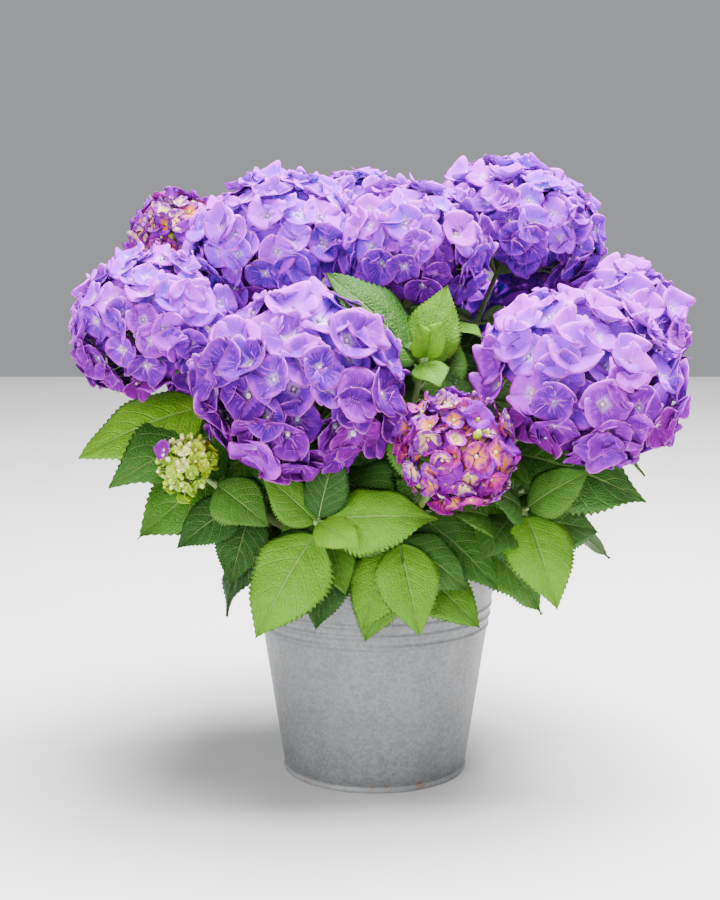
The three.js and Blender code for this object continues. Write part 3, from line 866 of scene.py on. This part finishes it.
stem_green, stem_tree, stem_shader = new_material("stem_green", Roughness=0.5, Subsurface_Weight=0.08,
                                                  Subsurface_Scale=0.002)
stem_place = object_place(stem_tree)
stem_grain = clouds(object_place(stem_tree, (1, 1, 0.25)), 300, 4, 0.6)
ripe = fade(calc("MULTIPLY_ADD", clouds(stem_place, 30), 0.1, split_place(stem_place)[2]), 0.40, 0.25)
specks = calc("MULTIPLY", fade(clouds(stem_place, 480, 1), 0.66, 0.72), 0.6)
put(stem_shader.inputs["Base Color"], layered(
    (0.16, 0.30, 0.07), (ripe, (0.14, 0.16, 0.06)), (fade(stem_grain, 0.4, 0.7, 0, 0.35), (0.30, 0.38, 0.14)),
    (specks, (0.11, 0.06, 0.03))))
relief(stem_shader, stem_grain, 0.35, 0.0005)
shoots = new_piece("green_shoots", round_limbs(shoot_runs, shoot_sides), stem_green)
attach(shoots, "root")
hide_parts(*[f"shoot_{stem['name']}" for stem in stems])

# Flower heads: mops of four-petalled florets, which open evenly over a dome on top of each shoot.
# Each floret has two pairs of broad thin petals, one pair over the other, and faces out of the head.
head_cover = 124
head_squash = {"left": 0.95, "front": 0.94, "top_right": 0.88, "right": 0.84}
golden_turn = 2.399963
floret_reach = 0.90
floret_sunk = 0.2
polar_slack, turn_slack = 0.035, 0.10
floret_sizes = (0.82, 1.12)
spin_from = (0.31, 0.52, 0.8)
inner_share, inner_depth, inner_tilt = 3, 0.16, 0.75
floret_kinds = {
    "open": {"crowd": 2.4, "tilt": 0.21, "rough": 0.0204, "cup": (0.40, 1.05), "closed": 0},
    "young": {"crowd": 2.5, "tilt": 0.34, "rough": 0.021, "cup": (0.45, 1.2), "closed": 0.06},
    "bud": {"crowd": 1.7, "tilt": 0.40, "rough": 0.042, "cup": (0.35, 0.9), "closed": 0.22},
}
petal_thickness = 0.0004
petal_columns, petal_rows = 4, 6
petal_shapes, cup_steps = 8, 4
petal_half_widths = ((0, 0.13), (0.17, 0.34), (0.33, 0.53), (0.5, 0.68), (0.67, 0.73), (0.83, 0.68),
                     (1, 0.50))
petal_turn_slack = 0.07
petal_lengths = (0.93, 1.07)
pair_lengths = (0.97, 1.03)
pair_gap = 0.0006

# The radius of the florets of each head.
floret_radii = {"left": 0.0188, "top_left": 0.0198, "top": 0.0200, "top_back": 0.0190, "front": 0.0262,
                "top_right": 0.0195, "right": 0.0255, "far_right": 0.0192, "back": 0.0230,
                "back_left": 0.0240, "back_right": 0.0240, "upper_left": 0.0138, "young": 0.0132,
                "low_back": 0.0135, "bud": 0.0085}

# How pale the florets of each head are, from 0, deep violet, to 3, pale lilac, as the mean of those
# that face level: partly each head's own colour, and partly painted sunlight that makes the upper
# heads paler. Those that face the sky are painted paler, as painted light from above, and those that
# face the ground deeper, as painted shade.
head_tones = {"left": 2.1, "top_left": 2.3, "top": 2.3, "top_back": 2.2, "front": 0.85, "top_right": 2.2,
              "right": 2.4, "far_right": 2.5, "back": 1.9, "back_left": 1.6, "back_right": 2.0, "bud": 0.5}
middle_tone = 1.5
tone_spread = 0.8
painted_light_by_rise, full_rise = 2.5, 0.5

# The tile columns that the florets of a head take, where they don't take all four alike.
head_hearts = {"upper_left": (3, 0, 3, 1), "right": (2, 3, 3, 1), "far_right": (2, 3, 3, 2)}

# One small floret opens early at the edge of the bud head.
early_floret_place = (-0.022, -0.012, 0.019)
early_floret_faces = (-0.6, -0.75, 0.25)
early_floret_radius = 0.0105

petal_sheet = closed_sheet(petal_columns, petal_rows)
petal_place = petal_sheet["corners"][:, 1] + 0.5
petal_across = petal_sheet["corners"][:, 0] * 2
petal_below = petal_sheet["corners"][:, 2]


def petal_corners(cup, number):
    """A petal of length one that grows along +Y, cupped by the given rise and waved by its number."""
    sway = np.random.default_rng(70 + number)
    curl, wave, ripple = sway.uniform(-0.10, 0.42), sway.uniform(0.015, 0.045), sway.uniform(0.02, 0.06)
    phase, skew, recurve = sway.uniform(0, 6.28), sway.uniform(-0.1, 0.1), sway.uniform(0.30, 0.70)
    roll = sway.uniform(-0.05, 0.24)
    half = np.interp(petal_place, *zip(*petal_half_widths))
    x = petal_across * half + skew * petal_place ** 2
    y = 0.03 + 0.95 * petal_place - 0.17 * petal_across ** 2 * petal_place ** 2
    bowl = cup * (petal_place - recurve * petal_place ** 2)
    curled, rolled = curl * x ** 2 * petal_place, roll * x * petal_place
    waved = wave * np.sin(phase + 5 * petal_place + 2.4 * petal_across) * petal_place
    rippled = ripple * np.sin(2 * phase + 7 * petal_across) * np.abs(petal_across) ** 2 * petal_place ** 2
    crease = 0.025 * np.exp(-(petal_across / 0.3) ** 2) * petal_place
    z = bowl + curled + rolled + waved + rippled - crease
    return np.stack([x, y * (1 - 0.12 * cup), z], 1)


petal_forms = {}
for kind_name, kind in floret_kinds.items():
    low, high = kind["cup"]
    for step in range(cup_steps):
        cup = low + (high - low) * step / (cup_steps - 1)
        petal_forms[kind_name, step] = [
            petal_corners(cup, petal_shapes * step + number) for number in range(petal_shapes)]

florets = []
for stem in headed:
    kind = floret_kinds[stem["kind"]]
    pick = np.random.default_rng(5000 + stems.index(stem))
    axis, side, centre = heading(stem, 1), stem["side"], stem["bends"][2]
    cover = 1 - math.cos(math.radians(head_cover))
    radius, squash = floret_radii[stem["name"]], head_squash.get(stem["name"], 1)
    hearts = head_hearts.get(stem["name"], range(4))
    count = round(kind["crowd"] * cover * 2 * (stem["head"] / radius) ** 2)
    for i in range(count):
        polar = math.acos(1 - cover * (i + 0.5) / count)
        out = axis.copy()
        out.rotate(Matrix.Rotation(polar + pick.normal(0, polar_slack), 3, side))
        out.rotate(Matrix.Rotation(i * golden_turn + pick.normal(0, turn_slack), 3, axis))
        inner = i % inner_share == inner_share - 1
        deep = inner_depth if inner else 0.0
        reach = floret_reach * (1 - deep + pick.normal(0, kind["rough"]))
        eye = out * (reach * stem["head"] - radius * floret_sunk)
        eye = eye + axis * ((stem["flat"] - 1) * eye.dot(axis))
        eye = Vector((eye.x, eye.y, squash * eye.z)) + centre
        outward = out + axis * ((1 / stem["flat"] - 1) * out.dot(axis))
        outward.z /= squash
        outward += Vector(pick.normal(0, kind["tilt"], 3)) * (inner_tilt if inner else 1.0)
        outward.normalize()
        tone = head_tones.get(stem["name"], middle_tone) + pick.normal(0, tone_spread)
        # Painted light and shade: a floret that faces the sky is made paler, and one that faces the ground
        # deeper.
        tone = tone + painted_light_by_rise * min(full_rise, out.z)
        florets.append({
            "stem": stem["name"], "kind": stem["kind"], "eye": eye, "outward": outward,
            "spin": pick.uniform(0, math.tau), "radius": radius * pick.uniform(*floret_sizes),
            "cup": pick.uniform(*kind["cup"]), "closed": pick.random() < kind["closed"],
            "tile": 4 * int(min(3, max(0, round(tone)))) + hearts[int(pick.integers(0, 4))]})

bud_stem = next(stem for stem in stems if stem["kind"] == "bud")
florets.append({"stem": "bud", "kind": "open", "eye": bud_stem["bends"][2] + Vector(early_floret_place),
                "outward": Vector(early_floret_faces).normalized(), "spin": 0.6,
                "radius": early_floret_radius, "cup": 0.6, "closed": False, "tile": 3})


def axes_of(floret):
    """The directions across and along a floret's first petal, and the one that the floret faces."""
    side = Vector(spin_from).cross(floret["outward"]).normalized()
    side.rotate(Matrix.Rotation(floret["spin"], 3, floret["outward"]))
    return np.array(side), np.array(side.cross(floret["outward"])) * -1, np.array(floret["outward"])


def petal_piece(name, kind, heads, material):
    """One piece from the petals of the opened florets of a kind on some heads."""
    placed, tiles = [], []
    low, high = floret_kinds[kind]["cup"]
    for floret in florets:
        if floret["kind"] != kind or floret["stem"] not in heads or floret["closed"]:
            continue
        side, ahead, outward = axes_of(floret)
        step = round((cup_steps - 1) * (floret["cup"] - low) / (high - low))
        pick = np.random.default_rng(round(floret["spin"] * 1e6))
        for petal in range(4):
            turn = petal * math.pi / 2 + pick.normal(0, petal_turn_slack)
            length = floret["radius"] * pick.uniform(*petal_lengths) * pair_lengths[petal % 2]
            form = petal_forms[kind, step][int(pick.integers(0, petal_shapes))]
            x = math.cos(turn) * side + math.sin(turn) * ahead
            y = -math.sin(turn) * side + math.cos(turn) * ahead
            body = length * (form[:, :1] * x + form[:, 1:2] * y + form[:, 2:] * outward)
            rise = petal_below * petal_thickness + pair_gap * (petal % 2)
            placed.append(np.array(floret["eye"]) + body + rise[:, None] * outward)
            tiles.append(floret["tile"])
    return joined(name, petal_sheet, np.stack(placed), np.array(tiles), material)


# The rim of a petal, as violet and young ones show it: it grows from 0 to 1 over a stretch at the
# petal's sides and over one at its tip.
petal_rim, given, sent = new_effect(
    "petal_rim", ("Across", "Along", "Side Start", "Side End", "Tip Start", "Tip End"), ("Rim",))
side_rim = fade(calc("ABSOLUTE", given["Across"]), given["Side Start"], given["Side End"])
put(sent["Rim"], calc("MAXIMUM", side_rim, fade(given["Along"], given["Tip Start"], given["Tip End"])))

violet, violet_tree, violet_shader = new_material(
    "petal_violet", Subsurface_Weight=0.10, Subsurface_Radius=(1.0, 0.3, 1.0), Subsurface_Scale=0.002,
    Roughness=0.6, Specular_IOR_Level=0.0)
column, row, across, along = add_effect(violet_tree, tile_map)
soft = clouds(tile_place(column, row, across, along), 2.2, 4, 0.55)
streaks = clouds(new_place(calc("DIVIDE", across, calc("ADD", along, 0.35)), calc("MULTIPLY", along, 0.22),
                           calc("MULTIPLY_ADD", row, 3.7, column)), 7.5, 3, 0.55, 0.15)
# The rows of tiles run from deep violet to pale lilac. A floret's row follows its tone, which is partly
# painted light, so the pale rows, and the pale tips that grow with the row, partly paint light from above,
# and the deep rows partly paint shade.
body_color = tile_color(row, [
    (0.095, 0.0003, 0.200), (0.095, 0.0003, 0.290), (0.150, 0.0004, 0.450), (0.365, 0.001, 0.880)])
shift = tile_color(column, [(0.70, 1.0, 1.0), (0.92, 1.0, 1.0), (1.08, 1.0, 1.03), (1.32, 1.0, 0.96)])
body_color = blend_colors(1.0, body_color, shift, "MULTIPLY")
pale = blend_colors(0.5, body_color, (0.82, 0.020, 0.98))
outer = calc("MULTIPLY", fade(row, 0.0, 3.0, 0.2, 1.0),
             fade(calc("MULTIPLY_ADD", soft, 0.9, along), 1.06, 1.50, 0, 0.66))
edge = add_effect(violet_tree, petal_rim, across, along, 0.82, 1.02, 0.90, 1.01)["Rim"]
vein_light = calc("MULTIPLY", fade(streaks, 0.52, 0.64), fade(along, 0.95, 0.15))
heart_reach = calc("MULTIPLY_ADD", row, 0.06, 0.42)
heart = fade(calc("MULTIPLY_ADD", streaks, 0.45, along), heart_reach, 0.20)
put(violet_shader.inputs["Base Color"], layered(
    body_color, (outer, (0.76, 0.015, 0.98)), (fade(soft, 0.52, 0.75, 0, 0.20), pale),
    (calc("MULTIPLY", edge, 0.40), (0.92, 0.24, 0.97)),
    (calc("MULTIPLY", vein_light, 0.48), (0.80, 0.10, 0.97)),
    (calc("MULTIPLY", heart, 0.88), (0.90, 0.62, 0.94))))
relief(violet_shader, calc("MULTIPLY_ADD", streaks, 0.8, soft), 0.35, 0.0007)

for name, heads in (("petals_front", ("left", "front", "bud")),
                    ("petals_right", ("right", "far_right", "top")),
                    ("petals_top", ("top_left", "top_back", "top_right")),
                    ("petals_back", ("back", "back_left", "back_right"))):
    piece = petal_piece(name, "open", heads, violet)
    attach(piece, "root")
    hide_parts(*[f"head_{head}" for head in heads])

# Young flower heads: the florets are still small and cupped round their hearts, cream to orange
# inside with magenta edges, and some are closed buds.
young, young_tree, young_shader = new_material(
    "petal_young", Subsurface_Weight=0.12, Subsurface_Radius=(1.0, 0.4, 0.6), Subsurface_Scale=0.002,
    Roughness=0.62, Specular_IOR_Level=0.0)
column, row, across, along = add_effect(young_tree, tile_map)
young_soft = clouds(tile_place(column, row, across, along), 2.4, 4, 0.6)
young_edge_color = tile_color(row, [
    (0.18, 0.001, 0.20), (0.15, 0.001, 0.28), (0.28, 0.002, 0.34), (0.14, 0.001, 0.34)])
young_heart_color = tile_color(column, [
    (0.70, 0.20, 0.05), (0.34, 0.004, 0.48), (0.62, 0.060, 0.20), (0.84, 0.52, 0.22)])
young_rim = add_effect(young_tree, petal_rim, across, along, 0.28, 0.78, 0.30, 0.72)["Rim"]
young_rim = calc("MULTIPLY", young_rim, fade(young_soft, 0.3, 0.62, 0.55, 1.1), clamp=True)
put(young_shader.inputs["Base Color"], blend_colors(young_rim, young_heart_color, young_edge_color))
relief(young_shader, young_soft, 0.3, 0.0006)
young_heads = [stem["name"] for stem in headed if stem["kind"] == "young"]
young_petals = petal_piece("petals_young", "young", young_heads, young)
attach(young_petals, "root")
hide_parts(*[f"head_{head}" for head in young_heads])

# Bud head: the youngest head, a loose cluster of round cream and lime-green buds on thin green
# stalks, with the first tiny green petals at its edge.
lime, lime_tree, lime_shader = new_material(
    "petal_lime", Subsurface_Weight=0.2, Subsurface_Scale=0.003, Subsurface_Radius=(0.8, 1.0, 0.3),
    Roughness=0.6, Specular_IOR_Level=0.3)
column, row, across, along = add_effect(lime_tree, tile_map)
lime_soft = clouds(tile_place(column, row, across, along), 2.0, 3)
# The rows run from deep lime to pale cream. On the bud head's petals the row follows the floret's tone, so
# there the pale rows partly paint light from above and the deep ones shade. The closed buds take their rows
# at random.
lime_color = tile_color(row, [
    (0.17, 0.33, 0.002), (0.27, 0.43, 0.002), (0.38, 0.52, 0.004), (0.66, 0.68, 0.26)])
put(lime_shader.inputs["Base Color"], layered(
    lime_color, (fade(lime_soft, 0.35, 0.7, 0, 0.4), (0.40, 0.52, 0.010)),
    (fade(along, 0.25, 0.0, 0, 0.5), (0.10, 0.26, 0.005))))
lime_petals = petal_piece("petals_lime", "bud", ("bud",), lime)
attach(lime_petals, "root")
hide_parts("head_bud")

# Floret hearts and closed buds: the small round true flower in the middle of each floret, and the
# buds of the heads that are not yet open. Their sizes here are shares of the floret's radius.
heart_proud, heart_sizes = 0.07, (0.075, 0.11)
young_heart_proud, young_heart_sizes = 0.16, (0.13, 0.18)
closed_sizes = (0.24, 0.36)
bead_longer = 0.25

# The loose buds of the bud head: their number, how much of the head they cover, how far out they
# stand as a share of its radius, and their own radius.
bud_beads = 52
bud_cover = 0.75
bud_reach = (0.80, 1.08)
bud_radii = (0.0015, 0.0027)

bead_shape = bmesh.new()
bmesh.ops.create_uvsphere(bead_shape, u_segments=6, v_segments=5, radius=1)
bead = arrays_of(bead_shape)
bead_map = np.stack([bead["corners"][:, 0] / 2, bead["corners"][:, 2] / 2, np.zeros(len(bead["corners"]))], 1)
bead_sheet = {**bead, "corners": bead_map}


def beads(places):
    """Beads from their middle, radius and outward direction, a little longer that way."""
    placed = []
    for middle, radius, outward in places:
        body = bead["corners"] * radius
        outward = np.array(outward)
        placed.append(np.array(middle) + body + bead_longer * (body @ outward)[:, None] * outward)
    return np.stack(placed)


def bud_tile(pick, least_row):
    return 4 * int(pick.integers(least_row, 4)) + int(pick.integers(0, 4))


heart_places, heart_tiles, bud_places, bud_tiles = [], [], [], []
for floret in florets:
    pick = np.random.default_rng(round(floret["spin"] * 1e6) + 1)
    eye, outward, size = floret["eye"], floret["outward"], floret["radius"]
    if floret["kind"] == "open":
        heart_places.append((eye + outward * size * heart_proud, size * pick.uniform(*heart_sizes), outward))
        heart_tiles.append(int(pick.integers(0, 16)))
    elif floret["closed"]:
        bud_places.append((eye, size * pick.uniform(*closed_sizes), outward))
        bud_tiles.append(bud_tile(pick, 1))
    else:
        young_heart = eye + outward * size * young_heart_proud
        bud_places.append((young_heart, size * pick.uniform(*young_heart_sizes), outward))
        bud_tiles.append(bud_tile(pick, 2))
bud_pick = np.random.default_rng(77)
for i in range(bud_beads):
    out = heading(bud_stem, 1)
    out.rotate(Matrix.Rotation(math.acos(1 - bud_cover * (i + 0.5) / bud_beads), 3, bud_stem["side"]))
    out.rotate(Matrix.Rotation(i * golden_turn, 3, heading(bud_stem, 1)))
    middle = bud_stem["bends"][2] + out * bud_stem["head"] * bud_pick.uniform(*bud_reach)
    bud_places.append((middle, bud_pick.uniform(*bud_radii), out))
    bud_tiles.append(bud_tile(bud_pick, 2))

heart_cream, heart_tree, heart_shader = new_material("heart_cream", Roughness=0.55, Subsurface_Weight=0.15,
                                                     Subsurface_Scale=0.002)
column, row, across, along = add_effect(heart_tree, tile_map)
heart_color = tile_color(row, [
    (0.62, 0.55, 0.80), (0.80, 0.70, 0.62), (0.55, 0.50, 0.85), (0.78, 0.58, 0.66)])
heart_color = blend_colors(fade(along, 0.45, 0.85, 0, 0.5), heart_color, (0.85, 0.82, 0.70))
put(heart_shader.inputs["Base Color"], heart_color)
hearts = joined("floret_hearts", bead_sheet, beads(heart_places), np.array(heart_tiles), heart_cream)
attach(hearts, "root")
buds = joined("closed_buds", bead_sheet, beads(bud_places), np.array(bud_tiles), lime)
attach(buds, "root")

# Flower stalks: the tip of each shoot goes on into its head and branches there into a thin stalk for
# every floret and bud. The fork's place and the rise of a stalk are shares of the head's radius.
stalk_radii = (0.0034, 0.0024)
stalk_overlap, stalk_points = 0.01, 12
fork_depth, fork_clear = 0.52, 0.5
floret_stalk_radii = (0.0011, 0.0008, 0.0006, 0.00055)
floret_stalk_shares = (0.0, 0.35, 0.7, 1.0)
floret_stalk_bend, floret_stalk_rise = 0.45, 0.16
floret_stalk_short = 0.0008
stalk_sides = 4

stalk_runs = []
for stem in headed:
    axis, centre = heading(stem, 1), stem["bends"][2]
    fork = centre - axis * (fork_depth * stem["head"])
    points = [along_stem(stem, share) for share in even_shares(stem["end"] - stalk_overlap, 1, stalk_points)]
    points = [point for point in points if (point - centre).length > fork_clear * stem["head"]] + [fork]
    stalk_runs.append((points, list(np.linspace(*stalk_radii, len(points)))))
    ends = [(floret["eye"], floret["outward"]) for floret in florets if floret["stem"] == stem["name"]]
    if stem is bud_stem:
        ends += [(middle, out) for middle, _, out in bud_places[-bud_beads:]]
    for end, outward in ends:
        bend = fork + (end - fork) * floret_stalk_bend + axis * (floret_stalk_rise * stem["head"])
        tip = end - outward * floret_stalk_short
        points = [on_curve(fork, bend, tip, share) for share in floret_stalk_shares]
        stalk_runs.append((points, floret_stalk_radii))
stalks = new_piece("flower_stalks", round_limbs(stalk_runs, stalk_sides), stem_green)
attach(stalks, "root")
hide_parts(*[f"head_{stem['name']}" for stem in headed])
